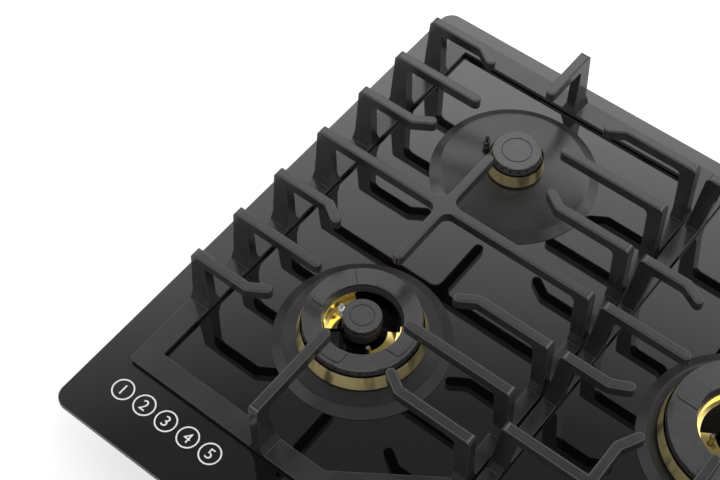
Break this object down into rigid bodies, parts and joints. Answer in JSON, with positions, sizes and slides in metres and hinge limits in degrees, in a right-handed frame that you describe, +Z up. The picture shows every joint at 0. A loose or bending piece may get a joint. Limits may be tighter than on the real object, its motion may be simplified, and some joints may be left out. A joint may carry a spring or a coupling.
{
  "type": "built-in gas cooktop",
  "caption": "Built-in gas cooktop: black glass top, brass burners with enamelled caps, cast-iron pan supports, push-and-turn knobs and a steel base tray.",
  "frame": {"origin": "middle of the underside of the base tray, below the middle of the glass panel", "axes": "+X to the right along the panel, +Y to the rear, +Z up out of the worktop"},
  "size_m": [0.86, 0.51, 0.1275],
  "materials": {
    "black_glass": "polished opaque black",
    "tray_steel": "galvanised sheet",
    "screw_steel": "zinc plated",
    "foam": "matt foam",
    "cast_iron": "satin black enamel on cast iron",
    "foot_rubber": "matt",
    "black_enamel": "satin enamel",
    "cap_enamel": "satin enamel",
    "cup_aluminium": "die cast, drawn tube",
    "satin_brass": "satin, turned",
    "turned_brass": "turned",
    "white_ceramic": "glazed ceramic",
    "dark_steel": "heat darkened",
    "knob_plastic": "fine matt",
    "spindle_steel": "turned",
    "rail_steel": "zinc plated tube",
    "box_plastic": "matt"
  },
  "bodies": {
    "cooktop": {"glass_panel": "black_glass", "base_tray": "tray_steel", "worktop_seal": "foam", "clamp_brackets": "tray_steel", "clamp_screws": "screw_steel", "small_dish": "black_enamel", "medium_dishes": "black_enamel", "double_dish": "black_enamel", "wok_dish": "black_enamel", "small_cup": "cup_aluminium", "medium_cups": "cup_aluminium", "double_cup": "cup_aluminium", "wok_cup": "cup_aluminium", "cup_screws": "screw_steel", "small_crown": "satin_brass", "medium_crowns": "satin_brass", "double_crown": "satin_brass", "wok_crown": "satin_brass", "igniters": "white_ceramic", "igniter_tips": "dark_steel", "flame_sensors": "dark_steel", "gas_jets": "turned_brass", "knob_bezels": "knob_plastic", "tap_bodies": "cup_aluminium", "gas_rail": "rail_steel", "rail_saddles": "tray_steel", "burner_pipes": "cup_aluminium", "gas_inlet": "turned_brass", "ignition_box": "box_plastic"},
    "left_support": {"left_grate": "cast_iron", "left_grate_feet": "foot_rubber"},
    "middle_support": {"middle_grate": "cast_iron", "middle_grate_feet": "foot_rubber"},
    "right_support": {"right_grate": "cast_iron", "right_grate_feet": "foot_rubber"},
    "small_cap": {"small_cap": "cap_enamel"},
    "medium_front_cap": {"medium_front_cap": "cap_enamel"},
    "medium_rear_cap": {"medium_rear_cap": "cap_enamel"},
    "double_ring_cap": {"double_ring_cap": "cap_enamel"},
    "double_inner_cap": {"double_inner_cap": "cap_enamel"},
    "wok_ring_cap": {"wok_ring_cap": "cap_enamel"},
    "wok_inner_cap": {"wok_inner_cap": "cap_enamel"},
    "plug_1": {"tap_plug_1": "turned_brass"},
    "knob_1": {"knob_1": "knob_plastic", "spindle_1": "spindle_steel"},
    "plug_2": {"tap_plug_2": "turned_brass"},
    "knob_2": {"knob_2": "knob_plastic", "spindle_2": "spindle_steel"},
    "plug_3": {"tap_plug_3": "turned_brass"},
    "knob_3": {"knob_3": "knob_plastic", "spindle_3": "spindle_steel"},
    "plug_4": {"tap_plug_4": "turned_brass"},
    "knob_4": {"knob_4": "knob_plastic", "spindle_4": "spindle_steel"},
    "plug_5": {"tap_plug_5": "turned_brass"},
    "knob_5": {"knob_5": "knob_plastic", "spindle_5": "spindle_steel"}
  },
  "joints": [
    {"name": "left_support_lift", "type": "slide", "parent": "cooktop", "child": "left_support", "axis": [0, 0, 1], "range_m": [0, 0.12]},
    {"name": "middle_support_lift", "type": "slide", "parent": "cooktop", "child": "middle_support", "axis": [0, 0, 1], "range_m": [0, 0.12]},
    {"name": "right_support_lift", "type": "slide", "parent": "cooktop", "child": "right_support", "axis": [0, 0, 1], "range_m": [0, 0.12]},
    {"name": "small_cap_lift", "type": "slide", "parent": "cooktop", "child": "small_cap", "axis": [0, 0, 1], "range_m": [0, 0.04]},
    {"name": "medium_front_cap_lift", "type": "slide", "parent": "cooktop", "child": "medium_front_cap", "axis": [0, 0, 1], "range_m": [0, 0.04]},
    {"name": "medium_rear_cap_lift", "type": "slide", "parent": "cooktop", "child": "medium_rear_cap", "axis": [0, 0, 1], "range_m": [0, 0.04]},
    {"name": "double_ring_cap_lift", "type": "slide", "parent": "cooktop", "child": "double_ring_cap", "axis": [0, 0, 1], "range_m": [0, 0.02]},
    {"name": "double_inner_cap_lift", "type": "slide", "parent": "cooktop", "child": "double_inner_cap", "axis": [0, 0, 1], "range_m": [0, 0.04]},
    {"name": "wok_ring_cap_lift", "type": "slide", "parent": "cooktop", "child": "wok_ring_cap", "axis": [0, 0, 1], "range_m": [0, 0.02]},
    {"name": "wok_inner_cap_lift", "type": "slide", "parent": "cooktop", "child": "wok_inner_cap", "axis": [0, 0, 1], "range_m": [0, 0.04]},
    {"name": "tap_1_turn", "type": "hinge", "parent": "cooktop", "child": "plug_1", "pos_m": [-0.132, -0.195, 0.033], "axis": [0, 0, 1], "range_deg": [0, 210]},
    {"name": "knob_1_push", "type": "slide", "parent": "plug_1", "child": "knob_1", "axis": [0, 0, -1], "range_m": [0, 0.0035], "stiffness_N_per_m": 1500, "springref_m": -0.0015},
    {"name": "tap_2_turn", "type": "hinge", "parent": "cooktop", "child": "plug_2", "pos_m": [-0.066, -0.195, 0.033], "axis": [0, 0, 1], "range_deg": [0, 210]},
    {"name": "knob_2_push", "type": "slide", "parent": "plug_2", "child": "knob_2", "axis": [0, 0, -1], "range_m": [0, 0.0035], "stiffness_N_per_m": 1500, "springref_m": -0.0015},
    {"name": "tap_3_turn", "type": "hinge", "parent": "cooktop", "child": "plug_3", "pos_m": [0, -0.195, 0.033], "axis": [0, 0, 1], "range_deg": [0, 210]},
    {"name": "knob_3_push", "type": "slide", "parent": "plug_3", "child": "knob_3", "axis": [0, 0, -1], "range_m": [0, 0.0035], "stiffness_N_per_m": 1500, "springref_m": -0.0015},
    {"name": "tap_4_turn", "type": "hinge", "parent": "cooktop", "child": "plug_4", "pos_m": [0.066, -0.195, 0.033], "axis": [0, 0, 1], "range_deg": [0, 210]},
    {"name": "knob_4_push", "type": "slide", "parent": "plug_4", "child": "knob_4", "axis": [0, 0, -1], "range_m": [0, 0.0035], "stiffness_N_per_m": 1500, "springref_m": -0.0015},
    {"name": "tap_5_turn", "type": "hinge", "parent": "cooktop", "child": "plug_5", "pos_m": [0.132, -0.195, 0.033], "axis": [0, 0, 1], "range_deg": [0, 210]},
    {"name": "knob_5_push", "type": "slide", "parent": "plug_5", "child": "knob_5", "axis": [0, 0, -1], "range_m": [0, 0.0035], "stiffness_N_per_m": 1500, "springref_m": -0.0015}
  ]
}
